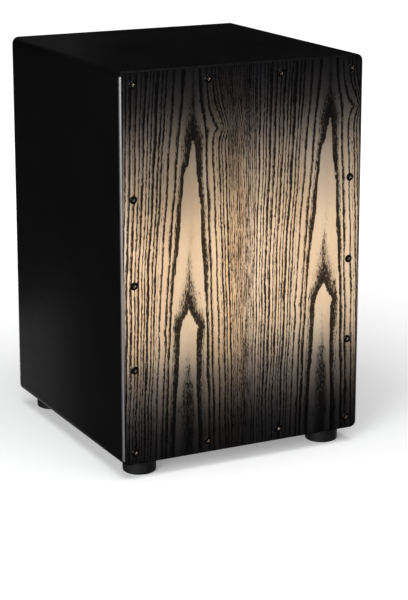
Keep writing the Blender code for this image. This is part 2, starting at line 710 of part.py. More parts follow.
def carriage_mesh():
    """A block on the bolt, with a peg for the string in front and a guided tongue behind.

    Its own origin is on the bolt's axis, at the block's middle height.
    """
    half_w, half_d, half_h = CARRIAGE_WIDTH / 2, CARRIAGE_DEPTH / 2, CARRIAGE_HEIGHT / 2
    tongue_end = BATTEN_BACK_Y + GAP + SHEET + GAP - BOLT_Y
    bm = bmesh.new()
    add_box(bm, (-half_w, -half_d, -half_h), (half_w, half_d, half_h))
    block = placed(finished(bm, "carriage"), None, None)
    low = (-TONGUE_WIDTH / 2, half_d - ROOT_DEPTH, -TONGUE_HEIGHT / 2)
    high = (TONGUE_WIDTH / 2, tongue_end, TONGUE_HEIGHT / 2)
    tongue = helper(box_mesh("tongue", low, high))
    front = WIRE_Y - STRING_RADIUS - BOLT_Y
    shoulder = WIRE_Y + STRING_RADIUS + GAP - BOLT_Y
    root = half_d - ROOT_DEPTH
    profile = [(0, root), (PEG_SHOULDER_RADIUS, root), (PEG_SHOULDER_RADIUS, -shoulder)]
    profile += [(PEG_RADIUS, -shoulder), (PEG_RADIUS, -front), (0, -front)]
    # The peg's own Z points forward.
    peg = helper(turned_mesh("peg", profile, SCREW_SEGMENTS), (0, 0, 0), (math.pi / 2, 0, 0))
    join_with(block, tongue, peg)
    bm = bmesh.new()
    radius = BOLT_RADIUS + GAP
    profile = [(0, -CLEAR), (radius, -CLEAR), (radius, CLEAR), (0, CLEAR)]
    add_turned(bm, profile, BORE_SEGMENTS)
    bore = helper(finished(bm, "carriage_bore"))
    cut(block, bore)
    graph = bpy.context.evaluated_depsgraph_get()
    mesh = bpy.data.meshes.new_from_object(block.evaluated_get(graph))
    mesh.name = "carriage"
    for used in (block, tongue, peg, bore):
        bpy.data.objects.remove(used)
    return mesh


def make_tension_sets(parent, steel):
    """On each side: a washer under the box, the bolt with its stop nut, and the carriage."""
    bolt, nut, carriage = bolt_mesh(), nut_mesh(), carriage_mesh()
    washer = washer_mesh("bolt_washer", BOLT_RADIUS + GAP, BOLT_WASHER_RADIUS, BOLT_WASHER)
    washer_z = LOW_Z + BOLT_SINK_DEPTH - GAP - BOLT_WASHER
    for name, side in (("left", -1), ("right", 1)):
        x = side * STRING_X
        axis = bpy.data.objects.new(f"tension_axis_{name}", None)
        bpy.context.scene.collection.objects.link(axis)
        axis.parent = parent
        axis.location = (x, BOLT_Y, 0)
        placed(washer, steel, axis, (0, 0, washer_z), name=f"tension_washer_{name}")
        head_z = washer_z - GAP
        placed(bolt, steel, axis, (0, 0, head_z), (math.pi, 0, 0), f"tension_bolt_{name}")
        placed(nut, steel, axis, (0, 0, BATTEN_LOW_Z + GAP), name=f"stop_nut_{name}")
        placed(carriage, steel, axis, (0, 0, CARRIAGE_Z), name=f"string_carriage_{name}")


def make_guide_plate(parent, steel, screw_holes):
    """A plate behind the bottom batten, whose slots keep the carriages from turning."""
    y0 = BATTEN_BACK_Y + GAP
    low_z = BATTEN_LOW_Z - BATTEN_WIDTH + GAP
    low = (-GUIDE_HALF_WIDTH, y0, low_z)
    high = (GUIDE_HALF_WIDTH, y0 + SHEET, low_z + GUIDE_HEIGHT)
    guide = placed(box_mesh("guide_plate", low, high), steel, parent)
    half = TONGUE_WIDTH / 2 + GAP
    bottom = CARRIAGE_Z - TONGUE_HEIGHT / 2 - GUIDE_SLACK
    top = CARRIAGE_Z + TONGUE_HEIGHT / 2 + CARRIAGE_TRAVEL + GUIDE_SLACK
    bm = bmesh.new()
    for side in (-1, 1):
        x = side * STRING_X
        add_box(bm, (x - half, y0 - CLEAR, bottom), (x + half, y0 + CLEAR, top))
    cut(guide, screw_holes, helper(finished(bm, "guide_slots")))


def main():
    for leftover in list(bpy.data.objects):
        bpy.data.objects.remove(leftover)
    materials = make_materials()
    lacquer, steel = materials["black_lacquer"], materials["zinc_steel"]
    drum = bpy.data.objects.new("cajon", None)
    bpy.context.scene.collection.objects.link(drum)

    places = screw_places()
    screw_holes = plate_screw_holes(places)
    rear_holes = bracket_screw_holes()

    make_walls(drum, lacquer, back_recess(), bottom_holes())
    make_back(drum, lacquer)
    make_battens(drum, materials["pine"], screw_holes, rear_holes, bolt_holes())
    make_plate(drum, materials["stained_ash"], screw_holes)
    make_plate_screws(drum, materials["black_screw"], places)
    make_feet(drum, materials["black_rubber"], steel)
    make_anchor(drum, steel, rear_holes)
    make_bracket_screws(drum, steel)
    make_strings(drum, materials["spring_steel"])
    make_guide_plate(drum, steel, rear_holes)
    make_tension_sets(drum, steel)


main()
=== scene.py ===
"""The looks of a cajon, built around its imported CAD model.

Units are metres. +Z is up, the front plate faces -Y, and the origin is on the floor under the
middle of the drum.
"""

import json
import math

import bmesh
import bpy
import numpy as np
from mathutils import Matrix, Vector


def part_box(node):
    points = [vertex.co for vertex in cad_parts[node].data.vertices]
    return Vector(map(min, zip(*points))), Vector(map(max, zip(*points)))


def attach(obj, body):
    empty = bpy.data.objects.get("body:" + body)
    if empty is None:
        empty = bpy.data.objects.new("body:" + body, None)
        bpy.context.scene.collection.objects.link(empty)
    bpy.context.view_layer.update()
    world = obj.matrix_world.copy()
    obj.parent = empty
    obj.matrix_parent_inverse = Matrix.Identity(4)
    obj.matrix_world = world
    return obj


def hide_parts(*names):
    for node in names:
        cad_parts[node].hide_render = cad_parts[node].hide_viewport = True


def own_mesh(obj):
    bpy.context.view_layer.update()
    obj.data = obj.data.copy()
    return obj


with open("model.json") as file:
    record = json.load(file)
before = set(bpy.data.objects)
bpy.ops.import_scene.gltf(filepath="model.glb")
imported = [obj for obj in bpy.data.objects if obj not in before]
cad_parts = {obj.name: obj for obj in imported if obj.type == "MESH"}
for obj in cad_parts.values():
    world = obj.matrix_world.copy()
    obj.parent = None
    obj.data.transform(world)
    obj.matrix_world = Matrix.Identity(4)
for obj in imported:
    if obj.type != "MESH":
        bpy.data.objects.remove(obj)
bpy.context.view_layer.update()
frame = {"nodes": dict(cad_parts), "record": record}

# Sizes and places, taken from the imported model
PLATE_LOW, PLATE_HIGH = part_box("front_plate")
TOP_LOW, TOP_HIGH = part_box("top_panel")
LEFT_LOW, LEFT_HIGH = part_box("left_panel")
BACK_LOW, BACK_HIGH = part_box("back_panel")
FOOT_LOW, FOOT_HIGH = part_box("foot_front_left")
HALF = PLATE_HIGH.x
FRONT_Y, PLATE_BACK_Y = PLATE_LOW.y, PLATE_HIGH.y
WALL_Y, BACK_Y = TOP_LOW.y, TOP_HIGH.y
LOW_Z, HIGH_Z = PLATE_LOW.z, PLATE_HIGH.z
WALL = LEFT_HIGH.x - LEFT_LOW.x
HEIGHT = HIGH_Z - LOW_Z
EDGE_RADIUS = 0.008  # of the four long edges
BACK_THICK = BACK_HIGH.y - BACK_LOW.y
HOLE_RADIUS = 0.058
HOLE_EDGE = 0.002
HOLE_Z = (LOW_Z + HIGH_Z) / 2 + 0.035

MM = 1000.0
TOUCHING = 1e-5  # a smaller distance counts as none
PAST = 0.01  # how far a cutter reaches past what it cuts


# Meshes

FORWARD = Matrix.Rotation(math.pi / 2, 4, "X")  # turns +Z to the way the front plate faces
SHARP = math.radians(50)  # an edge that turns more than this gets a bevel


def add_object(name, data):
    piece = bpy.data.objects.new(name, data)
    bpy.context.scene.collection.objects.link(piece)
    return piece


def object_of(bm, name, *materials):
    """A new object from a bmesh, in world coordinates."""
    mesh = bpy.data.meshes.new(name)
    bm.normal_update()
    bm.to_mesh(mesh)
    bm.free()
    for material in materials:
        mesh.materials.append(material)
    return add_object(name, mesh)


def smooth(piece, degrees=32):
    piece.data.shade_smooth()
    piece.data.set_sharp_from_angle(angle=math.radians(degrees))


def carve(piece, cutter):
    """Cuts the cutter's shape out of the piece, and throws the cutter away."""
    modifier = piece.modifiers.new("cut", "BOOLEAN")
    modifier.operation = "DIFFERENCE"
    modifier.solver = "EXACT"
    modifier.object = cutter
    graph = bpy.context.evaluated_depsgraph_get()
    mesh = bpy.data.meshes.new_from_object(piece.evaluated_get(graph))
    piece.modifiers.clear()
    piece.data = mesh
    bpy.data.objects.remove(cutter)


def arc(centre, radius, start, end, steps):
    """Points along an arc, from one angle in degrees to another."""
    angles = [math.radians(start + (end - start) * i / steps) for i in range(steps + 1)]
    return [(centre[0] + radius * math.cos(a), centre[1] + radius * math.sin(a)) for a in angles]


def add_box(bm, low, high):
    centre, size = (Vector(low) + Vector(high)) / 2, Vector(high) - Vector(low)
    matrix = Matrix.Translation(centre) @ Matrix.Diagonal((*size, 1.0))
    bmesh.ops.create_cube(bm, size=1.0, matrix=matrix)


def extrude(bm, points, along):
    """Makes the face through the points solid by moving a copy of it. Gives the copy's corners."""
    face = bm.faces.new([bm.verts.new(point) for point in points])
    made = bmesh.ops.extrude_face_region(bm, geom=[face])["geom"]
    moved = [v for v in made if isinstance(v, bmesh.types.BMVert)]
    bmesh.ops.translate(bm, verts=moved, vec=along)
    bmesh.ops.recalc_face_normals(bm, faces=bm.faces)
    return moved


def add_prism(bm, outline, y0, y1):
    """An outline in X and Z, made solid from y0 to y1."""
    extrude(bm, [(x, y0, z) for x, z in outline], (0, y1 - y0, 0))


def sink(piece, outline, mouth, depth, taper=1.0):
    """Cuts a recess into the piece along Z, from the height of its mouth."""
    bm = bmesh.new()
    floor = extrude(bm, [(x, y, mouth) for x, y in outline], (0, 0, depth))
    bmesh.ops.scale(bm, verts=floor, vec=(taper, taper, 1.0))
    carve(piece, object_of(bm, "recess"))


def skin(bm, rings):
    """Joins rings of corners, each with as many as the next, into a tube with flat ends."""
    sides = len(rings[0])
    for first, second in zip(rings, rings[1:]):
        for i in range(sides):
            j = (i + 1) % sides
            bm.faces.new([first[i], first[j], second[j], second[i]])
    bm.faces.new(list(reversed(rings[0])))
    bm.faces.new(rings[-1])
    bmesh.ops.recalc_face_normals(bm, faces=bm.faces)


def lathe(name, profile, segments, *materials, moves=(Matrix.Identity(4),)):
    """Turns (radius, height) points round Z, once for each move. Points on the axis close it."""
    bm = bmesh.new()
    for move in moves:
        rings = []
        for radius, height in profile:
            count = 1 if radius == 0 else segments
            angles = [math.tau * i / segments for i in range(count)]
            ring = [(radius * math.cos(a), radius * math.sin(a), height) for a in angles]
            rings.append([bm.verts.new(move @ Vector(point)) for point in ring])
        pairs = list(zip(rings, rings[1:]))
        if profile[0][0] > 0:
            pairs.append((rings[-1], rings[0]))
        for first, second in pairs:
            for i in range(segments):
                j = (i + 1) % segments
                if len(first) == 1:
                    corners = [first[0], second[i], second[j]]
                elif len(second) == 1:
                    corners = [first[i], second[0], first[j]]
                else:
                    corners = [first[i], second[i], second[j], first[j]]
                bm.faces.new(corners)
        bmesh.ops.recalc_face_normals(bm, faces=bm.faces)
    piece = object_of(bm, name, *materials)
    smooth(piece)
    return piece


def soften(piece, keep, offset, segments=3, flat=0.5):
    """Bevels the sharp edges that keep() picks by their ends, once flat areas are single faces."""
    bm = bmesh.new()
    bm.from_mesh(piece.data)
    bmesh.ops.remove_doubles(bm, verts=bm.verts, dist=1e-6)
    bmesh.ops.dissolve_limit(bm, angle_limit=math.radians(flat), verts=bm.verts, edges=bm.edges)
    chosen = [e for e in bm.edges
              if e.calc_face_angle(0) > SHARP and keep(*(v.co for v in e.verts))]
    bmesh.ops.bevel(bm, geom=chosen, offset=offset, segments=segments, profile=0.5,
                    affect="EDGES", clamp_overlap=True)
    bm.normal_update()
    bm.to_mesh(piece.data)
    bm.free()


def refined(node, name, material, bevel, least_edge=0.004):
    """A copy of a CAD node's shape with its long straight edges softened. It replaces the node."""
    bm = bmesh.new()
    bm.from_mesh(frame["nodes"][node].data)
    piece = object_of(bm, name, material)
    soften(piece, lambda a, b: (b - a).length > least_edge, bevel, 2, 1)
    smooth(piece)
    finish_piece(piece, node)


def place_of(node, z):
    """The move from the Z axis to the middle of a node, at a height."""
    low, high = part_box(node)
    centre = (low + high) / 2
    return Matrix.Translation((centre.x, centre.y, z))


def body_of_node(node):
    bodies = frame["record"]["behaviour"]["bodies"]
    return next(body for body, nodes in bodies.items() if node in nodes)


def finish_piece(piece, node, instead=True):
    """Gives a piece its node's body, and hides the node if instead, so that the piece takes its
    place.
    """
    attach(piece, body_of_node(node))
    if instead:
        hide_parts(node)


# Node materials


class Nodes:
    """A node tree whose nodes are written as nested calls."""

    def __init__(self, owner, place):
        owner.use_nodes = True
        self.nodes, self.links = owner.node_tree.nodes, owner.node_tree.links
        self.place = self.put("TexCoord").outputs[place]

    def put(self, kind, settings=None, inputs=None):
        """Adds a node. Its kind is written without the ShaderNode that every kind starts with."""
        node = self.nodes.new("ShaderNode" + kind)
        for key, value in (settings or {}).items():
            setattr(node, key, value)
        for key, value in (inputs or {}).items():
            self.feed(node.inputs[key], value)
        return node

    def feed(self, socket, value):
        if isinstance(value, bpy.types.NodeSocket):
            self.links.new(value, socket)
        elif isinstance(value, tuple) and socket.type == "RGBA":
            socket.default_value = (*value[:3], 1.0)
        else:
            socket.default_value = value

    def math(self, operation, *values, clamp=False):
        settings = {"operation": operation, "use_clamp": clamp}
        return self.put("Math", settings, dict(enumerate(values))).outputs[0]

    def plus(self, first, second):
        return self.math("ADD", first, second)

    def times(self, first, second):
        return self.math("MULTIPLY", first, second)

    def stretched(self, scale):
        settings = {"operation": "MULTIPLY"}
        return self.put("VectorMath", settings, {0: self.place, 1: scale}).outputs[0]

    def noise(self, scale, vector=None, detail=2.0, roughness=0.5, distortion=0.0):
        inputs = {"Vector": vector or self.place, "Scale": scale, "Detail": detail,
                  "Roughness": roughness, "Distortion": distortion}
        return self.put("TexNoise", None, inputs).outputs["Fac"]

    def streaky(self, scale, detail=2.0, roughness=0.5):
        """Noise with a scale of its own along each axis."""
        return self.noise(1.0, self.stretched(scale), detail, roughness)

    def attribute(self, name, output):
        return self.put("Attribute", {"attribute_name": name}).outputs[output]

    def draw(self, number):
        """A random value from 0 to 1 for each whole number."""
        node = self.put("TexWhiteNoise", {"noise_dimensions": "1D"}, {"W": number})
        return node.outputs["Value"]

    def spread(self, value, low, high, out_low=0.0, out_high=1.0):
        """Maps low..high to out_low..out_high, and keeps to that range."""
        inputs = {"Value": value, "From Min": low, "From Max": high,
                  "To Min": out_low, "To Max": out_high}
        return self.put("MapRange", {"clamp": True}, inputs).outputs["Result"]

    def ramp(self, value, stops, interpolation="LINEAR"):
        node = self.put("ValToRGB", None, {"Fac": value})
        node.color_ramp.interpolation = interpolation
        elements = node.color_ramp.elements
        for i, (position, colour) in enumerate(stops):
            element = elements[i] if i < len(elements) else elements.new(position)
            element.position = position
            grey = (colour,) * 3 if isinstance(colour, float) else colour
            element.color = (*grey, 1.0)
        return node.outputs["Color"]

    def blend(self, fac, first, second, kind="MIX"):
        node = self.put("Mix", {"data_type": "RGBA", "blend_type": kind})
        # A Mix node has a set of sockets for each data type: these are those of a colour.
        for index, value in ((0, fac), (6, first), (7, second)):
            self.feed(node.inputs[index], value)
        return node.outputs[2]

    def tint(self, colour, factor):
        return self.blend(1.0, colour, factor, "MULTIPLY")

    def colour_of(self, red, green, blue):
        return self.put("CombineColor", None, {0: red, 1: green, 2: blue}).outputs[0]

    def axis(self, index, vector=None):
        return self.put("SeparateXYZ", None, {0: vector or self.place}).outputs[index]

    def bump(self, height, distance, strength):
        inputs = {"Height": height, "Distance": distance, "Strength": strength}
        return self.put("Bump", None, inputs).outputs["Normal"]


class Shader(Nodes):
    """A material. Its constants are on the shader's own sockets."""

    def __init__(self, name, roughness=0.5, metallic=0.0, specular=0.5):
        self.material = bpy.data.materials.new(name)
        super().__init__(self.material, "Object")
        self.surface = self.nodes["Principled BSDF"]
        for socket, value in (("Roughness", roughness), ("Metallic", metallic),
                              ("Specular IOR Level", specular)):
            self.surface.inputs[socket].default_value = value

    def done(self, colour=None, roughness=None, normal=None):
        for name, value in (("Base Color", colour), ("Roughness", roughness), ("Normal", normal)):
            if value is not None:
                self.feed(self.surface.inputs[name], value)
        return self.material


def black_lacquer(name, gloss, specular):
    """Black paint with a faint orange peel and dust-fine wear."""
    s = Shader(name, roughness=gloss, specular=specular)
    peel = s.noise(420, detail=3, roughness=0.55)
    cloud = s.noise(9, detail=3)
    rub = s.noise(60, s.stretched((1.0, 0.25, 1.0)), detail=4, roughness=0.65)
    colour = s.blend(s.spread(cloud, 0.3, 0.7), (0.0013, 0.0013, 0.0014), (0.0019, 0.0019, 0.0020))
    rubbed = s.spread(rub, 0.3, 0.8, 0.0, 0.07)
    rough = s.plus(s.spread(cloud, 0.25, 0.75, gloss - 0.03, gloss + 0.03), rubbed)
    return s.done(colour, rough, s.bump(peel, 0.00003, 0.35))


def raw_board():
    """Unpainted fibreboard: fine felted fibres, with a darker bloom here and there."""
    s = Shader("raw_board", roughness=0.85, specular=0.3)
    felt = s.noise(1400, detail=4, roughness=0.7)
    fibre = s.noise(260, s.stretched((1.0, 0.35, 1.0)), detail=5, roughness=0.7, distortion=1.2)
    bloom = s.noise(14, detail=3)
    colour = s.blend(s.spread(fibre, 0.3, 0.7), (0.26, 0.165, 0.085), (0.40, 0.275, 0.155))
    colour = s.blend(s.spread(bloom, 0.45, 0.75, 0.0, 0.5), colour, (0.22, 0.135, 0.07))
    height = s.plus(felt, s.times(fibre, 0.6))
    return s.done(colour, None, s.bump(height, 0.0001, 0.5))


def bare_wood(name, pale, dark, along, ring_scale):
    """Plain sawn wood with soft growth rings. along is the axis its grain follows: 0, 1 or 2."""
    s = Shader(name, roughness=0.6, specular=0.35)
    squeeze = [1.0, 1.0, 1.0]
    squeeze[along] = 0.06
    grain = s.stretched(tuple(squeeze))
    drift = s.noise(22, grain, detail=2)
    rings = s.math("FRACT", s.times(drift, ring_scale))
    band = s.ramp(rings, [(0.0, 0.15), (0.55, 0.45), (0.88, 1.0), (1.0, 0.15)], "EASE")
    fibre = s.noise(900, grain, detail=4, roughness=0.7)
    colour = s.blend(band, pale, dark)
    colour = s.blend(s.spread(fibre, 0.35, 0.7, 0.0, 0.35), colour, dark)
    height = s.plus(fibre, s.times(band, 0.4))
    return s.done(colour, s.spread(fibre, 0.3, 0.7, 0.52, 0.68), s.bump(height, 0.00012, 0.5))


# Grain of the front plate. Across and down are in millimetres from the plate's top left corner.
# Two leaves of veneer cut one after the other lie side by side, so their figure repeats.
LEAF_STEP = 171.0  # from a figure in the left leaf to the same one in the right leaf
LEAF_RISE = 11.0  # the right leaf is laid higher
# (down, left side, right side) of each growth ring's edge round the leaf's middle
RING_2 = [(-20, 77, 92), (0, 76.5, 93), (40, 73, 95.5), (58, 71.5, 98.5), (75, 70, 101),
          (110, 67, 102.5), (147, 64.5, 104), (190, 60.5, 105.5), (230, 57, 107), (293, 54.5, 109),
          (376, 50, 110.5), (450, 48, 111.5)]
RING_1 = [(75, 86, 86), (84, 84.3, 87.8), (95, 83, 89.6), (105, 81.4, 90.8), (112, 77.2, 91.6),
          (120, 75.2, 92.6), (147, 72.5, 95.8), (190, 68.6, 97.5), (213, 64.6, 98.8),
          (247, 61, 101), (293, 58.8, 103.5), (376, 55, 105), (450, 53.5, 106)]
RING_0 = [(269, 80.8, 80.8), (274, 77.4, 84.2), (280, 74, 87), (287, 71.4, 91.6),
          (291, 70.6, 95.4), (296, 70, 92.4), (320, 69.6, 91.5), (343, 68, 91.3), (376, 65, 91.5),
          (450, 62, 92.5)]
# (down, ring count) along the leaf's middle
MIDDLE = [(-20, 1.62), (10, 1.5), (30, 1.4), (45, 1.3), (58, 1.15), (68, 1.04), (75, 1.0),
          (80, 0.95), (90, 0.86), (110, 0.76), (150, 0.62), (175, 0.5), (192, 0.44), (206, 0.39),
          (222, 0.31), (236, 0.22), (250, 0.12), (262, 0.03), (269, 0.0), (276, -0.1),
          (290, -0.34), (305, -0.46), (322, -0.54), (340, -0.66), (356, -0.78), (368, -0.84),
          (376, -0.86), (400, -0.88), (450, -0.88)]
# (distance from ring 2, rings crossed) on the right, where the rings grow finer
FINER = [(0, 0), (8, 1), (14, 2), (19, 3), (23, 4), (26.3, 5), (29, 6), (31.3, 7), (80, 28)]
# The same on the left, where the leaf's straight side lies this far from ring 2
LEFT_REACH = 91.0
COARSER = [(0, 0), (9, 1), (16.2, 2), (21.6, 3), (26.2, 4), (30.6, 5), (35, 6), (39.3, 7),
           (43.4, 8), (48.7, 9), (54.6, 10), (59.3, 11), (63.8, 12), (68, 13), (72, 14), (91, 22)]
LEFT_SIDE = -25.0  # where that straight side is
# Knots: across, down, pull, reach across, reach above, reach below
KNOTS = [(121.5, 70.0, 8.5, 12.5, 24.0, 8.0), (50.0, 292.0, -2.4, 6.0, 9.0, 6.0)]
TIPS = (75.0, 269.0, 372.0)  # how far down each figure inside another starts
# Distances above such a tip, and how gently the dark figure's sides fall away there
POINTED = ((0, 14, 34, 58, 200), (1.45, 1.25, 0.9, 0.7, 1.5))
NO_TIP = 200.0  # stands for the distance where no tip lies further down
TIP_REACH = 48.0  # how far below its tip a new ring's inside is changed by it
# Lighter and darker clouds, the last of them a painted sheen along the plate's left edge: across,
# down, reach across, reach down, gain
CLOUDS_AND_SHEEN = [(52, 125, 46, 50, -0.32), (76, 250, 34, 120, -0.12), (133, 160, 12, 150, -0.10),
          (134, 98, 15, 46, -0.26), (186, 255, 36, 120, 0.10), (3, 240, 8, 160, 0.20)]


def curve(points, column, at):
    """A column of a list of rows, read between the rows at values of their first column."""
    rows = np.array(points, float)
    return np.interp(at, rows[:, 0], rows[:, column])


def ring_count(across, down, leaf):
    """Growth rings crossed at each point. A dark line of open pores starts at each whole number."""
    u = across - LEAF_STEP * leaf
    t = down + LEAF_RISE * leaf
    for knot_u, knot_t, pull, wide, above, below in KNOTS:
        drop = np.where(t < knot_t, (knot_t - t) / above, (t - knot_t) / below)
        u = u - pull * np.exp(-(((u - knot_u) / wide) ** 2)) * np.exp(-drop)
    u = u + 0.5 * np.sin(t / 31 + 0.6) * np.sin(u / 23 + 1.1) + 0.3 * np.sin(t / 12.5 + u / 9)

    left_2, right_2 = curve(RING_2, 1, t), curve(RING_2, 2, t)
    share = (left_2 - u) / (left_2 - LEFT_SIDE)
    outer = np.where(u < left_2, curve(COARSER, 1, share * LEFT_REACH),
                     curve(FINER, 1, u - right_2))
    # Uneven steps from ring to ring. The last number keeps the count at 0 on ring 2.
    outer = outer + 0.13 * np.sin(2.1 * outer + 0.4) + 0.06 * np.sin(4.7 * outer + 0.8) - 0.0937
    outer = np.maximum(outer, 0) + 2.0

    # Inside ring 2 the count goes from the middle's own value out to each ring's edge in turn.
    middle = curve(MIDDLE, 1, t)
    inner = middle
    low_left = low_right = (curve(RING_1, 1, t) + curve(RING_1, 2, t)) / 2
    ahead = np.min([np.where(t < tip, tip - t, NO_TIP) for tip in TIPS], axis=0)
    low_value, power = middle, np.interp(ahead, POINTED[0], POINTED[1])
    for points, value in ((RING_0, 0.0), (RING_1, 1.0), (RING_2, 2.0)):
        start = points[0][0]
        open_here = t >= start
        left, right = curve(points, 1, t), curve(points, 2, t)
        on_left = u < (low_left + low_right) / 2
        span = np.where(on_left, low_left - left, right - low_right)
        far = np.where(on_left, low_left - u, u - low_right)
        part = np.clip(far / np.maximum(span, 0.5), 0, 1)
        between = low_value + (value - low_value) * part ** power
        inside = (far > 0) & open_here
        inner = np.where(inside, between, inner)
        low_left = np.where(open_here, left, low_left)
        low_right = np.where(open_here, right, low_right)
        low_value = np.where(open_here, value, low_value)
        since = np.clip(1 - (t - start) / TIP_REACH, 0, 1) if start > 0 else 0
        power = np.where(open_here, 1.0 + 0.75 * since, power)
    return np.where((u < left_2) | (u > right_2), outer, inner)


# How pale the stained plate is at each height, in millimetres below its top
FADE = [(0, 0.005), (22, 0.011), (42, 0.021), (60, 0.053), (75, 0.10), (90, 0.17), (108, 0.265),
        (130, 0.36), (152, 0.46), (175, 0.58), (200, 0.66), (240, 0.67), (272, 0.655), (292, 0.585),
        (308, 0.485), (325, 0.345), (342, 0.187), (358, 0.116), (375, 0.067), (392, 0.030),
        (412, 0.013), (440, 0.007)]
# The stain is warmer where it is paler: its green and blue are these gains and powers of its red
GREEN_OF_RED, BLUE_OF_RED = (0.714, 0.945), (0.437, 0.83)


def ash_lines(s, ring, side):
    """How dark each point is from the line of pores that it lies in, from 0 to 1."""
    part = s.math("FRACT", ring)
    number = s.math("FLOOR", ring)
    lot = s.draw(number)
    swell = s.spread(s.streaky((55, 1, 11)), 0.3, 0.7, -0.22, 0.26)
    pinch = s.spread(s.streaky((210, 1, 34)), 0.3, 0.7, -0.20, 0.24)
    width = s.plus(s.spread(lot, 0.0, 1.0, 0.76, 1.46), s.plus(swell, pinch))
    broad = s.ramp(part, [(0.0, 1.0), (0.07, 0.93), (0.14, 0.77), (0.22, 0.61), (0.30, 0.47),
                          (0.42, 0.31), (0.55, 0.12), (0.68, 0.04)])
    narrow = s.ramp(s.times(part, width),
                    [(0.0, 1.0), (0.26, 0.98), (0.38, 0.76), (0.48, 0.46), (0.60, 0.22),
                     (0.80, 0.08)])
    # Some rings have a fainter second line.
    other = s.draw(s.plus(number, 0.37))
    away = s.math("ABSOLUTE", s.math("SUBTRACT", part, s.spread(other, 0.3, 1.0, 0.46, 0.72)))
    strength = s.spread(other, 0.38, 0.60, 0.0, 0.66)
    faint = s.times(s.spread(away, 0.02, 0.11, 1.0, 0.0), strength)
    line = s.blend(side, broad, s.math("MAXIMUM", narrow, faint))
    line = s.times(line, s.spread(lot, 0.0, 1.0, 1.08, 0.84))
    line = s.math("MAXIMUM", line, s.spread(part, 0.955, 0.995, 0.0, 0.8))
    # Where the rings crowd, dashes take the place of lines.
    dashes = s.spread(s.streaky((900, 1, 42)), 0.43, 0.55)
    return s.blend(s.times(s.attribute("crowd", "Fac"), 0.45), line, dashes)


def ash_pores(s, line):
    """Breaks the lines up into pores filled with black, from 0 for none to 1."""
    coarse = s.streaky((640, 1, 105), 3, 0.62)
    fine = s.streaky((1300, 1, 300), 2, 0.6)
    pores = s.plus(s.times(coarse, 0.45), s.times(fine, 0.55))
    least = s.plus(s.times(pores, 3.2), -1.14)
    packed = s.spread(s.math("SUBTRACT", line, least), -0.04, 0.27)
    flecks = s.times(s.spread(pores, 0.60, 0.68), 0.3)
    rim = s.spread(s.math("ABSOLUTE", s.axis(0)), HALF - 0.0048, HALF - 0.0032, 0.0, 0.75)
    black = s.math("MAXIMUM", s.math("MAXIMUM", packed, flecks), rim, clamp=True)
    streaks = s.streaky((2600, 1, 170), 3, 0.65)
    return s.times(black, s.spread(streaks, 0.42, 0.70, 1.0, 0.90))


def ash_pale(s, line, fibre):
    """The stained wood's colour between its pores, with a painted sheen along the plate's left
    edge.
    """
    drop = s.times(s.math("SUBTRACT", HIGH_Z, s.axis(2)), 1 / HEIGHT)
    red = s.ramp(drop, [(mm / MM / HEIGHT, level) for mm, level in FADE])
    green, blue = (s.times(s.math("POWER", red, power), gain)
                   for gain, power in (GREEN_OF_RED, BLUE_OF_RED))
    pale = s.colour_of(red, green, blue)
    tone = s.spread(s.streaky((34, 1, 5)), 0.35, 0.65)
    pale = s.tint(pale, s.blend(tone, (0.96, 0.90, 0.84), (1.03, 1.04, 1.06)))
    from_left = s.spread(s.axis(0), -HALF, HALF)
    # Across the plate: the veneer's own warmer and cooler hues, and at the left edge a bluish tint
    # that is a painted sheen.
    hue_and_sheen = s.ramp(from_left, [(0.0, (0.92, 1.0, 1.12)), (0.05, (1.0, 1.0, 1.02)),
                             (0.34, (1.0, 1.0, 0.98)), (0.44, (1.06, 0.99, 0.88)),
                             (0.49, (1.05, 0.99, 0.92)), (0.51, (0.98, 1.0, 1.05)),
                             (0.64, (0.98, 1.0, 1.03))])
    pale = s.tint(pale, hue_and_sheen)
    # The cloud attribute carries the plate's tone and a painted sheen along its left edge.
    for level in (s.attribute("cloud", "Fac"), s.spread(fibre, 0.3, 0.7, 0.90, 1.10)):
        pale = s.tint(pale, s.colour_of(level, level, level))
    shaded = s.tint(pale, (0.37, 0.34, 0.32))
    return s.blend(s.spread(line, 0.12, 0.85, 0.0, 0.60), pale, shaded)


def stained_ash():
    """Open-pored ash veneer, its pores filled black, fading to black above and below."""
    s = Shader("stained_ash", roughness=0.5, specular=0.07)
    ring, waver, side = (s.axis(i, s.attribute("grain", "Vector")) for i in range(3))
    wander = s.spread(s.streaky((90, 1, 16), 3, 0.6), 0.2, 0.8, -1, 1)
    jitter = s.spread(s.streaky((640, 1, 190)), 0.2, 0.8, -1, 1)
    shift = s.times(s.plus(wander, s.times(jitter, 1.25)), waver)
    line = ash_lines(s, s.plus(ring, shift), side)
    black = ash_pores(s, line)
    fibre = s.streaky((3200, 1, 60), 3, 0.7)
    pale = ash_pale(s, line, fibre)
    dark = s.blend(1.0, s.tint(pale, (0.032, 0.026, 0.022)), (0.0008, 0.0008, 0.0009), "ADD")
    height = s.math("SUBTRACT", s.times(fibre, 0.25), black)
    rough = s.spread(black, 0.0, 1.0, 0.46, 0.62)
    return s.done(s.blend(black, pale, dark), rough, s.bump(height, 0.00012, 0.6))


def black_rubber():
    """Moulded rubber with a fine grain and a little dust."""
    s = Shader("black_rubber", roughness=0.62, specular=0.35)
    grain = s.noise(2600, detail=3, roughness=0.6)
    dust = s.noise(130, detail=4, roughness=0.7)
    colour = s.blend(s.spread(dust, 0.4, 0.8), (0.004, 0.004, 0.0045), (0.009, 0.009, 0.0097))
    rough = s.spread(dust, 0.3, 0.8, 0.55, 0.72)
    return s.done(colour, rough, s.bump(grain, 0.00006, 0.5))


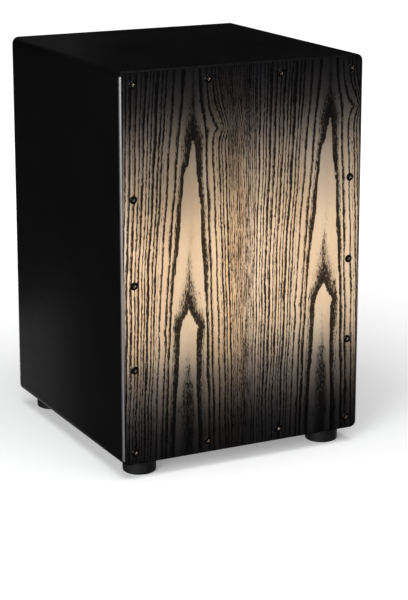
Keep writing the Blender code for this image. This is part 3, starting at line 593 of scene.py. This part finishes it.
def black_screw():
    """Blackened steel whose coat has worn thin here and there."""
    s = Shader("black_screw", roughness=0.34, metallic=1.0)
    wear = s.noise(900, detail=4, roughness=0.7)
    edge = s.put("NewGeometry").outputs["Pointiness"]
    worn = s.math("MULTIPLY", s.spread(edge, 0.52, 0.58), s.spread(wear, 0.45, 0.7), clamp=True)
    coat = s.blend(s.spread(wear, 0.3, 0.7), (0.018, 0.018, 0.018), (0.042, 0.040, 0.038))
    colour = s.blend(worn, coat, (0.42, 0.38, 0.33))
    rough = s.spread(wear, 0.3, 0.7, 0.26, 0.42)
    return s.done(colour, rough, s.bump(wear, 0.00002, 0.4))


def worn_screw():
    """The cross recess, where the driver has taken most of the black coat off."""
    s = Shader("worn_screw", roughness=0.3, metallic=1.0)
    wear = s.noise(2600, detail=3, roughness=0.7)
    colour = s.blend(s.spread(wear, 0.42, 0.60), (0.04, 0.036, 0.032), (0.56, 0.45, 0.34))
    rough = s.spread(wear, 0.3, 0.7, 0.34, 0.50)
    return s.done(colour, rough, s.bump(wear, 0.00004, 0.6))


def steel(name, bright, dull, roughness, scale):
    """Plated steel with faint spangle and brushing."""
    s = Shader(name, roughness=roughness, metallic=1.0)
    cell = s.put("TexVoronoi", None, {"Vector": s.place, "Scale": scale}).outputs["Color"]
    brushed = s.noise(1.0, s.stretched((350, 2400, 2400)), detail=3)
    colour = s.blend(s.axis(0, cell), dull, bright)
    rough = s.plus(s.spread(brushed, 0.3, 0.7, -0.06, 0.08), roughness)
    return s.done(colour, rough, s.bump(brushed, 0.00002, 0.3))


def floor_paper():
    """White paper that glows a little, and more with distance, so that it ends in white."""
    s = Shader("studio_floor", roughness=0.9, specular=0.1)
    tooth = s.noise(300, detail=3)
    colour = s.blend(s.spread(tooth, 0.3, 0.7), (0.86, 0.86, 0.86), (0.88, 0.88, 0.88))
    far = s.put("VectorMath", {"operation": "LENGTH"}, {0: s.place}).outputs["Value"]
    glow = s.plus(s.spread(far, 0.28, 1.3, 0.0, 0.70), 0.28)
    s.feed(s.surface.inputs["Emission Color"], (1.0, 1.0, 1.0))
    s.feed(s.surface.inputs["Emission Strength"], glow)
    return s.done(colour)


LACQUER = black_lacquer("black_lacquer", 0.31, 0.25)
# Matt black for the plate's top and bottom edges, and as painted shade on the countersinks' walls
MATT_LACQUER_AND_SHADE = black_lacquer("matt_lacquer_and_shade", 0.6, 0.06)
EDGE_LACQUER = black_lacquer("edge_lacquer", 0.5, 1.0)
EDGE_LACQUER.node_tree.nodes["Principled BSDF"].inputs["IOR"].default_value = 2.2
BOARD = raw_board()
ASH = stained_ash()
PLY_BACK = bare_wood("birch_ply", (0.60, 0.43, 0.255), (0.43, 0.285, 0.15), 2, 7.0)
PINE_X = bare_wood("pine_along_x", (0.63, 0.43, 0.225), (0.42, 0.235, 0.09), 0, 9.0)
PINE_Z = bare_wood("pine_along_z", (0.63, 0.43, 0.225), (0.42, 0.235, 0.09), 2, 9.0)
RUBBER = black_rubber()
SCREW_BLACK = black_screw()
SCREW_WORN = worn_screw()
ZINC = steel("zinc_plate", (0.62, 0.63, 0.62), (0.50, 0.52, 0.53), 0.30, 900)
WIRE = steel("spring_wire", (0.72, 0.70, 0.66), (0.60, 0.58, 0.55), 0.22, 2500)


# Box

ARC = 10  # steps round each rounded corner
BACK_GAP = 0.0003  # between the back panel and the walls
SOFTNESS = 0.0006  # of the walls' outer edges


def paint_inside(piece):
    """Gives the raw board to the faces that look into the drum."""
    piece.data.materials.append(BOARD)
    inner_x, low, high = HALF - WALL, LOW_Z + WALL, HIGH_Z - WALL
    slack = 0.0002
    for face in piece.data.polygons:
        c = face.center
        inside = abs(c.x) < inner_x + slack and low - slack < c.z < high + slack
        if inside and c.y < BACK_Y - BACK_THICK + slack:
            face.material_index = 1


def back_recess():
    """What the walls lose to take the back panel."""
    reach, slack = BACK_HIGH.x + BACK_GAP, 0.0002
    bm = bmesh.new()
    add_box(bm, (-reach, BACK_LOW.y - slack, BACK_LOW.z - BACK_GAP),
            (reach, BACK_Y + PAST, BACK_HIGH.z + BACK_GAP))
    return object_of(bm, "back_recess")


def finish_wall(bm, name, node, keep):
    """Cuts, softens and paints a wall. keep() picks edges by their ends, at front and back."""
    wall = object_of(bm, name, LACQUER)
    carve(wall, back_recess())
    if node == "bottom_panel":
        carve(wall, bolt_recesses())

    def soft(a, b):
        y = (a.y + b.y) / 2
        return min(abs(y - WALL_Y), abs(y - BACK_Y)) < TOUCHING and keep(a, b)

    soften(wall, soft, SOFTNESS)
    paint_inside(wall)
    smooth(wall)
    finish_piece(wall, node)


def make_walls():
    for name, node, outer, inner in (
        ("top_wall", "top_panel", HIGH_Z, HIGH_Z - WALL),
        ("bottom_wall", "bottom_panel", LOW_Z, LOW_Z + WALL),
    ):
        up = 1 if outer > inner else -1
        right = arc((HALF - EDGE_RADIUS, outer - up * EDGE_RADIUS), EDGE_RADIUS, 0, 90 * up, ARC)
        left = [(-x, z) for x, z in reversed(right)]
        bm = bmesh.new()
        add_prism(bm, [(HALF, inner)] + right + left + [(-HALF, inner)], WALL_Y, BACK_Y)
        finish_wall(bm, name, node, lambda a, b: abs((a.z + b.z) / 2 - inner) > TOUCHING)
    for name, node, side in (("left_wall", "left_panel", -1), ("right_wall", "right_panel", 1)):
        bm = bmesh.new()
        x0, x1 = sorted((side * HALF, side * (HALF - WALL)))
        add_box(bm, (x0, WALL_Y, LOW_Z + WALL), (x1, BACK_Y, HIGH_Z - WALL))
        finish_wall(bm, name, node, lambda a, b: abs((b - a).normalized().z) > 0.9)


def bolt_recesses():
    """Stepped holes under the box for the tension bolts."""
    sink, depth, bore, reach = 0.007, 0.003, 0.0033, 0.02
    profile = [(0, -reach), (sink, -reach), (sink, depth), (bore, depth), (bore, reach), (0, reach)]
    moves = [place_of(f"tension_washer_{side}", LOW_Z) for side in ("left", "right")]
    return lathe("bolt_recesses", profile, 40, moves=moves)


def make_back():
    bm = bmesh.new()
    add_box(bm, BACK_LOW, BACK_HIGH)
    back = object_of(bm, "back_board", LACQUER)
    soften(back, lambda a, b: abs((a.y + b.y) / 2 - BACK_Y) < TOUCHING, 0.0005)
    flare = HOLE_RADIUS + HOLE_EDGE
    near = arc((flare, HOLE_EDGE), HOLE_EDGE, 270, 180, 6)
    far = [(r, BACK_THICK - z) for r, z in reversed(near)]
    profile = [(0, -PAST), (flare, -PAST)] + near + far
    profile += [(flare, BACK_THICK + PAST), (0, BACK_THICK + PAST)]
    turn = Matrix.Translation((0, BACK_LOW.y, HOLE_Z)) @ Matrix.Rotation(-math.pi / 2, 4, "X")
    carve(back, lathe("hole", profile, 112, moves=[turn]))
    back.data.materials.append(BOARD)
    for face in back.data.polygons:
        if face.normal.y < -0.9 and face.center.y < BACK_LOW.y + 0.0004:
            face.material_index = 1
    smooth(back)
    finish_piece(back, "back_panel")


# Front plate

PLATE_EDGE = 0.0028  # bevel round the plate's front
HEAD_RADIUS = 0.004  # of the plate's screws
HEAD_RISE = FRONT_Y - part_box("plate_screw_top_1")[0].y
SINK_GAP = 0.0006  # round each screw's head
GRID = 0.003
FRONT_FACING = -0.95  # a face of the front has a normal whose Y is below this
FIRST_RING = 40.0  # keeps every ring count above zero


def screw_nodes():
    """Where each screw of the plate is, in X and Z, by the name of its node."""
    names = [n for n in frame["nodes"] if n.startswith(("plate_screw", "corner_screw"))]
    places = {}
    for name in sorted(names):
        low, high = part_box(name)
        places[name] = ((low.x + high.x) / 2, (low.z + high.z) / 2)
    return places


def plate_blank():
    """The plate with its rounded corners, bevelled front and countersunk bores."""
    bm = bmesh.new()
    r = EDGE_RADIUS
    corners = ((HALF - r, HIGH_Z - r, 0), (r - HALF, HIGH_Z - r, 90),
               (r - HALF, LOW_Z + r, 180), (HALF - r, LOW_Z + r, 270))
    outline = [p for x, z, a in corners for p in arc((x, z), r, a, a + 90, ARC)]
    add_prism(bm, outline, FRONT_Y, PLATE_BACK_Y)
    rim = [e for e in bm.edges if all(abs(v.co.y - FRONT_Y) < TOUCHING for v in e.verts)]
    bmesh.ops.bevel(bm, geom=rim, offset=PLATE_EDGE, segments=6, profile=0.5, affect="EDGES")
    plate = object_of(bm, "front_board", ASH)
    head, shank, above = HEAD_RADIUS + SINK_GAP, 0.0021, 0.004
    profile = [(0, above), (head, above), (head, 0), (shank, shank - head), (shank, -PAST),
               (0, -PAST)]
    moves = [Matrix.Translation((x, FRONT_Y, z)) @ FORWARD for x, z in screw_nodes().values()]
    carve(plate, lathe("sinks", profile, 32, moves=moves))
    return plate


def cut_grid(mesh):
    """Cuts the front into small squares, whose corners can carry the ring count."""
    bm = bmesh.new()
    bm.from_mesh(mesh)
    bmesh.ops.triangulate(bm, faces=[f for f in bm.faces if f.normal.y < -0.999])
    for axis, low, high in ((0, -HALF, HALF), (2, LOW_Z, HIGH_Z)):
        normal = Vector((0, 0, 0))
        normal[axis] = 1
        for place in np.arange(low + GRID, high - 1e-6, GRID):
            near = [
                f for f in bm.faces if f.normal.y < FRONT_FACING
                and min(v.co[axis] for v in f.verts) < place < max(v.co[axis] for v in f.verts)
            ]
            geom = {e for f in near for e in f.edges} | {v for f in near for v in f.verts}
            bmesh.ops.bisect_plane(bm, geom=[*geom, *near], dist=1e-7,
                                   plane_co=normal * float(place), plane_no=normal)
    bm.to_mesh(mesh)
    bm.free()


def paint_plate(mesh):
    """Leaves the front in ash, and gives the sides, the back and the countersinks their own: the
    countersinks get matt black as painted shade.
    """
    for material in (EDGE_LACQUER, PLY_BACK, MATT_LACQUER_AND_SHADE):
        mesh.materials.append(material)
    edge, back, matt_and_shade = 1, 2, 3
    inset, margin = PLATE_EDGE * 0.35, 0.009
    for face in mesh.polygons:
        c, n = face.center, face.normal
        well_in = abs(c.x) < HALF - margin and LOW_Z + margin < c.z < HIGH_Z - margin
        by_rim = abs(c.x) > HALF - EDGE_RADIUS or not LOW_Z + inset < c.z < HIGH_Z - inset
        if n.y > 0.9:
            face.material_index = back
        # Faces behind the front, away from the rim, are the countersinks' walls: matt black there
        # is a painted shadow ring round each screw head.
        elif well_in and c.y > FRONT_Y + TOUCHING:
            face.material_index = matt_and_shade
        elif by_rim and n.y > FRONT_FACING:
            face.material_index = edge if abs(n.z) < 0.3 * abs(n.x) else matt_and_shade


def store_grain(mesh):
    """Stores at each face's corners what stained_ash() reads there.

    The vector "grain" holds the ring count, how far its lines waver, and whether they are narrow,
    as at a leaf's sides, or broad. The numbers "cloud" and "crowd" are for tone, with a painted
    sheen along the plate's left edge, and for dashes.
    """
    corners = np.zeros(len(mesh.loops), np.int32)
    mesh.loops.foreach_get("vertex_index", corners)
    points = np.array([v.co for v in mesh.vertices], float)[corners]
    centres = np.array([f.center.x for f in mesh.polygons], float)
    counts = np.array([f.loop_total for f in mesh.polygons])
    leaf = (np.repeat(centres, counts) > 0).astype(float)
    across, down = (points[:, 0] + HALF) * MM, (HIGH_Z - points[:, 2]) * MM
    rings = ring_count(across, down, leaf)
    # Rings crossed in one millimetre across, and in three down
    across_rate = np.abs(ring_count(across + 0.5, down, leaf) - rings) * 2.0
    down_rate = np.minimum(np.abs(ring_count(across, down + 3, leaf) - rings), 0.1)
    side = np.clip((across_rate - 0.035) / 0.06, 0, 1)
    waver = np.minimum(across_rate * 0.45 + down_rate * 1.2, 0.2) * (0.45 + 0.55 * side)
    grain = np.stack([rings + FIRST_RING, waver, side], axis=1)
    # Clouds of tone, and the painted sheen along the plate's left edge
    cloud = np.ones(len(across))
    for cloud_u, cloud_t, wide, tall, gain in CLOUDS_AND_SHEEN:
        cloud += gain * np.exp(-(((across - cloud_u) / wide) ** 2) - ((down - cloud_t) / tall) ** 2)
    crowd = np.clip((across_rate - 0.28) / 0.14, 0, 1)
    for name, kind, field, numbers in (("grain", "FLOAT_VECTOR", "vector", grain),
                                       ("cloud", "FLOAT", "value", cloud),
                                       ("crowd", "FLOAT", "value", crowd)):
        attribute = mesh.attributes.new(name, kind, "CORNER")
        attribute.data.foreach_set(field, numbers.astype(np.float32).ravel())


def make_plate():
    plate = plate_blank()
    cut_grid(plate.data)
    paint_plate(plate.data)
    store_grain(plate.data)
    smooth(plate, 30)
    finish_piece(plate, "front_plate")


def cross_outline(reach, half, root):
    """A cross recess from above. root is how far out its inner corners are in X and in Y."""
    outline = []
    for c, s in ((1, 0), (0, 1), (-1, 0), (0, -1)):
        quarter = ((reach, -half), (reach, half), (root, root))
        outline += [(c * x - s * y, s * x + c * y) for x, y in quarter]
    return outline


def screw_mesh():
    """A countersunk screw with a domed head and a cross recess. Its head points along +Z."""
    rise, radius, shank, length = HEAD_RISE, HEAD_RADIUS, 0.00175, 0.018
    dome_radius = (radius**2 + rise**2) / (2 * rise)
    fillet = 0.0004
    edge = math.asin((radius - fillet) / (dome_radius - fillet))
    rim_height = rise - dome_radius + (dome_radius - fillet) * math.cos(edge)
    edge = math.degrees(edge)
    profile = [(0, rise)] + arc((0, rise - dome_radius), dome_radius, 90, 90 - edge, 8)[1:]
    profile += arc((radius - fillet, rim_height), fillet, 90 - edge, 0, 5)[1:]
    profile += [(shank, shank - radius), (shank, 2 * shank - length), (0, -length)]
    screw = lathe("screw_shape", profile, 48, SCREW_BLACK)

    reach, half, depth, above, taper = radius * 0.62, radius * 0.14, 0.0017, 0.0004, 0.35
    sink(screw, cross_outline(reach, half, half * 1.7), rise + above, -above - depth, taper)
    bm = bmesh.new()
    bm.from_mesh(screw.data)
    rim = [e for e in bm.edges if e.calc_face_angle(0) > math.radians(35)
           and all(v.co.z > 0.0002 and v.co.xy.length < radius * 0.8 for v in e.verts)]
    bmesh.ops.bevel(bm, geom=rim, offset=0.00008, segments=2, profile=0.5, affect="EDGES")
    bm.to_mesh(screw.data)
    bm.free()
    screw.data.materials.append(SCREW_WORN)
    for face in screw.data.polygons:
        across, height = face.center.xy.length, face.center.z
        under = rise - across**2 / (2 * dome_radius) - 0.00003
        if across < reach * 1.04 and -depth < height < under:
            face.material_index = 1
    smooth(screw, 40)
    mesh = screw.data
    bpy.data.objects.remove(screw)
    return mesh


def make_plate_screws():
    mesh = screw_mesh()
    for i, (node, (x, z)) in enumerate(screw_nodes().items()):
        piece = add_object(node.replace("screw", "screw_head"), mesh)
        turn = Matrix.Rotation(math.radians(37 * i % 90), 4, "Z")
        piece.matrix_world = Matrix.Translation((x, FRONT_Y, z)) @ FORWARD @ turn
        finish_piece(piece, node)


# Battens


def make_battens():
    for node, material in (("top_batten", PINE_X), ("bottom_batten", PINE_X),
                           ("left_batten", PINE_Z), ("right_batten", PINE_Z)):
        refined(node, node.replace("batten", "strip"), material, 0.0006, 0.012)


# Feet


def make_feet():
    radius, top = (FOOT_HIGH.x - FOOT_LOW.x) / 2, FOOT_HIGH.z
    low, high, lip = 0.0025, 0.0008, 0.0007  # radii of the lower, upper and bore's rims
    bore, web, shank, step = 0.0085, 0.006, 0.0023, 0.0004
    profile = arc((radius - low, low), low, -90, 0, 8)
    profile += arc((radius - high, top - high), high, 0, 90, 5)
    profile += [(shank, top), (shank, top - web), (bore - step, top - web),
                (bore, top - web - step)]
    profile += arc((bore + lip, lip), lip, 180, 270, 4)
    for corner in ("front_left", "front_right", "back_left", "back_right"):
        place = place_of(f"foot_{corner}", 0)
        foot = lathe(f"rubber_foot_{corner}", profile, 72, RUBBER, moves=[place])
        finish_piece(foot, f"foot_{corner}")
        make_ring(f"foot_washer_{corner}", f"foot_disc_{corner}", 0.0023)
        make_pan_screw(f"foot_screw_{corner}", f"foot_fixing_{corner}", 0.002, down=True)


def make_ring(node, name, bore):
    """A flat washer with softened rims."""
    low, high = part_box(node)
    radius, height, edge = (high.x - low.x) / 2, high.z - low.z, 0.0002
    profile = [(bore, 0), (radius - edge, 0), (radius, edge), (radius, height - edge),
               (radius - edge, height), (bore, height)]
    ring = lathe(name, profile, 48, ZINC, moves=[place_of(node, low.z)])
    finish_piece(ring, node)


def make_pan_screw(node, name, shank, down=False):
    """A pan-head screw whose head looks down, or else back along +Y."""
    low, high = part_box(node)
    radius, length = (high.x - low.x) / 2, high.z - low.z if down else high.y - low.y
    head = radius * 0.62
    edge = head * 0.5
    profile = [(0, head)] + arc((radius - edge, head - edge), edge, 90, 0, 5)
    profile += [(radius, 0), (shank, 0), (shank, 2 * shank + head - length), (0, head - length)]
    piece = lathe(name, profile, 36, ZINC)
    reach, half, mouth, floor = radius * 0.6, radius * 0.14, head + 0.001, head * 0.35
    sink(piece, cross_outline(reach, half, half), mouth, floor - mouth)
    place = (low + high) / 2
    if down:
        place.z = low.z + head
    else:
        place.y = high.y - head
    turn = Matrix.Rotation(math.pi if down else -math.pi / 2, 4, "X")
    piece.data.transform(Matrix.Translation(place) @ turn)
    smooth(piece)
    finish_piece(piece, node)


# String system


def tube(name, route, radii, material, sides=10):
    """A round tube along a route, with a thickness at each point."""
    bm = bmesh.new()
    rings = []
    points = [Vector(p) for p in route]
    side = None
    for i, point in enumerate(points):
        ahead = points[min(i + 1, len(points) - 1)] - points[max(i - 1, 0)]
        ahead.normalize()
        if side is None:
            side = ahead.orthogonal().normalized()
        side = (side - ahead * side.dot(ahead)).normalized()
        other = ahead.cross(side)
        angles = [math.tau * k / sides for k in range(sides)]
        rings.append([bm.verts.new(point + radii[i] * (math.cos(a) * side + math.sin(a) * other))
                      for a in angles])
    skin(bm, rings)
    piece = object_of(bm, name, material)
    smooth(piece, 45)
    return piece


def make_strings():
    """Each string runs from a ball over the anchor's lip, round its carriage's peg, and back up."""
    radius, bend, peg = 0.00045, 0.0015, 0.00275  # the wire's, and those of its two bends
    ball, ball_length = 0.0019, 0.0036
    ball_shape = ((1.0, 0.55), (0.93, 0.86), (0.8, 1.0), (0.2, 1.0), (0.07, 0.86), (0.0, 0.55))
    for side in ("left", "right"):
        node = f"string_{side}"
        low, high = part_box(node)
        middle = (low.x + high.x) / 2
        outer_x = (high.x - low.x) / 2 - ball
        wire_y, top_z = low.y + radius, high.z - ball
        peg_z = low.z + radius + peg
        ball_y = high.y - ball_length

        def upper(x):
            """From the ball to the top of the straight run, as points and thicknesses."""
            run = [((x, ball_y + ball_length * share, top_z), ball * size)
                   for share, size in ball_shape]
            run.append(((x, ball_y - 0.0002, top_z), radius))
            turn = arc((wire_y + bend, top_z - bend), bend, 90, 180, 8)
            return run + [((x, y, z), radius) for y, z in turn]

        lean = math.degrees(math.atan2(outer_x - peg, top_z - bend - peg_z))
        loop = [((x, wire_y, z), radius)
                for x, z in arc((middle, peg_z), peg, 180 + lean, 360 - lean, 20)]
        run = upper(middle - outer_x) + loop + list(reversed(upper(middle + outer_x)))
        route, radii = zip(*run)
        string = tube(f"wire_{side}", route, radii, WIRE)
        finish_piece(string, node)
        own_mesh(string)


BOLT_RADIUS, BOLT_HEAD, BOLT_TIP = 0.003, 0.0033, 0.0006  # shank, head's height, end's taper
PITCH = 0.001


def bolt_cap(name, radius):
    """A button head with a hexagon socket. It looks down from Z = 0."""
    root, edge = BOLT_RADIUS - 0.0004, 0.0002
    dome = ((0.5, 0.0), (0.72, 0.10), (0.88, 0.30), (0.97, 0.55), (1.0, 0.78))
    profile = [(0, 0)] + [(radius * share, BOLT_HEAD * height) for share, height in dome]
    profile += [(radius, BOLT_HEAD - edge), (radius - edge, BOLT_HEAD), (root, BOLT_HEAD),
                (root, BOLT_HEAD + 0.002), (0, BOLT_HEAD + 0.002)]
    cap = lathe(name, profile, 48, ZINC)
    socket, depth, below = 0.0023, 0.0021, 0.001
    sink(cap, arc((0, 0), socket, 0, 300, 5), -below, below + depth)
    return cap


def bolt_thread(name, top):
    """The bolt's shank, as rings of corners whose distance from its axis follows a helix."""
    per_turn, rows, groove, taper_length = 24, 6, 0.00052, 0.0008
    bm = bmesh.new()
    rings = []
    for row in range(int(round((top - BOLT_HEAD - BOLT_TIP) / PITCH * rows)) + 1):
        height = BOLT_HEAD + PITCH * row / rows
        taper = BOLT_TIP * max(0.0, 1 - (top - BOLT_TIP - height) / taper_length)
        ring = []
        for k in range(per_turn):
            angle = math.tau * k / per_turn
            crest = abs(2 * ((height / PITCH - k / per_turn) % 1.0) - 1)
            r = BOLT_RADIUS - groove * (1 - min(1.0, crest * 1.15)) - taper
            ring.append(bm.verts.new((r * math.cos(angle), r * math.sin(angle), height)))
        rings.append(ring)
    skin(bm, rings)
    return object_of(bm, name, ZINC)


def make_bolt(side):
    """A button-head bolt with a hexagon socket and a real thread."""
    node = f"tension_bolt_{side}"
    low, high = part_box(node)
    cap = bolt_cap(f"bolt_cap_{side}", (high.x - low.x) / 2)
    thread = bolt_thread(f"bolt_thread_{side}", high.z - low.z)
    for piece in (cap, thread):
        piece.data.transform(place_of(node, low.z))
        smooth(piece, 40)
        finish_piece(piece, node, instead=piece == cap)


def make_string_system():
    make_strings()
    refined("string_anchor", "anchor_plate", ZINC, 0.0003)
    refined("guide_plate", "guide_bracket", ZINC, 0.0003)
    for side in ("left", "right"):
        make_bolt(side)
        refined(f"stop_nut_{side}", f"lock_nut_{side}", ZINC, 0.0004)
        refined(f"string_carriage_{side}", f"carriage_block_{side}", ZINC, 0.0004)
        make_ring(f"tension_washer_{side}", f"bolt_disc_{side}", 0.0033)
        make_pan_screw(f"anchor_screw_{side}", f"anchor_fixing_{side}", 0.0015)
        make_pan_screw(f"guide_screw_{side}", f"guide_fixing_{side}", 0.0015)


# Studio


def area_light(name, place, aim, size, power, colour=(1, 1, 1)):
    """A soft light that the camera doesn't see."""
    light = bpy.data.lights.new(name, "AREA")
    light.shape = "RECTANGLE"
    light.size, light.size_y = size
    light.energy = power
    light.color = colour
    holder = add_object(name, light)
    direction = Vector(aim) - Vector(place)
    holder.location = place
    holder.rotation_euler = direction.to_track_quat("-Z", "Y").to_euler()
    holder.visible_camera = False


def make_studio():
    bm = bmesh.new()
    bmesh.ops.create_grid(bm, x_segments=2, y_segments=2, size=40)
    floor = object_of(bm, "studio_floor", floor_paper())
    floor.visible_glossy = False
    make_world()

    area_light("top_softbox", (-0.2, -0.6, 2.6), (-0.1, -0.2, 0), (2.2, 2.2), 55)
    area_light("key_softbox", (-1.72, -1.45, 0.7), (0, -0.1, 0.25), (1.0, 1.4), 46,
               (0.97, 0.98, 1.0))
    # Two dim cards that only the satin black sides mirror
    area_light("low_card", (-0.25, 0.75, -0.3), (-0.25, 0, -0.3), (0.36, 0.5), 0.09)
    area_light("back_card", (0.05, 0.85, 0.70), (0.05, 0, 0.70), (0.36, 0.32), 0.015)
    # And two for the sides the picture does not show
    area_light("right_card", (1.6, 0.65, -0.42), (0, 0.65, -0.42), (1.9, 0.8), 3.2)
    area_light("rear_card", (0.8, 1.7, -0.42), (0.8, 0, -0.42), (1.7, 0.8), 2.0)


def make_world():
    """A white backdrop to the eye, and to the gloss a dark room whose pale floor glows a little."""
    world = bpy.data.worlds.new("studio")
    bpy.context.scene.world = world
    s = Nodes(world, "Generated")
    sky = s.spread(s.axis(1), 0.6, 0.1, 0.007, 0.03)
    glow = s.spread(s.axis(2), -0.1, -0.5, sky, 0.05)
    seen = s.put("LightPath").outputs["Is Camera Ray"]
    background = s.nodes["Background"]
    s.feed(background.inputs["Color"], (1.0, 1.0, 1.0))
    s.feed(background.inputs["Strength"],
           s.put("Mix", None, {0: seen, 2: glow, 3: 0.97}).outputs[0])


def make_camera():
    """A camera at the viewing angle of a product picture taken from the front left."""
    focal_length, image_height = 1912, 600  # in pixels
    data = bpy.data.cameras.new("camera")
    data.sensor_width = 36.0
    data.lens = focal_length * data.sensor_width / image_height
    data.shift_y = -0.1
    camera = add_object("camera", data)
    camera.location = (-0.9717, -1.8164 + FRONT_Y, 0.7442 + LOW_Z)
    camera.rotation_euler = (math.radians(90 - 13.71), 0, math.radians(-26.9))
    bpy.context.scene.camera = camera


make_camera()
make_walls()
make_back()
make_plate()
make_plate_screws()
make_battens()
make_feet()
make_string_system()
make_studio()
bpy.context.scene.view_settings.view_transform = "Standard"
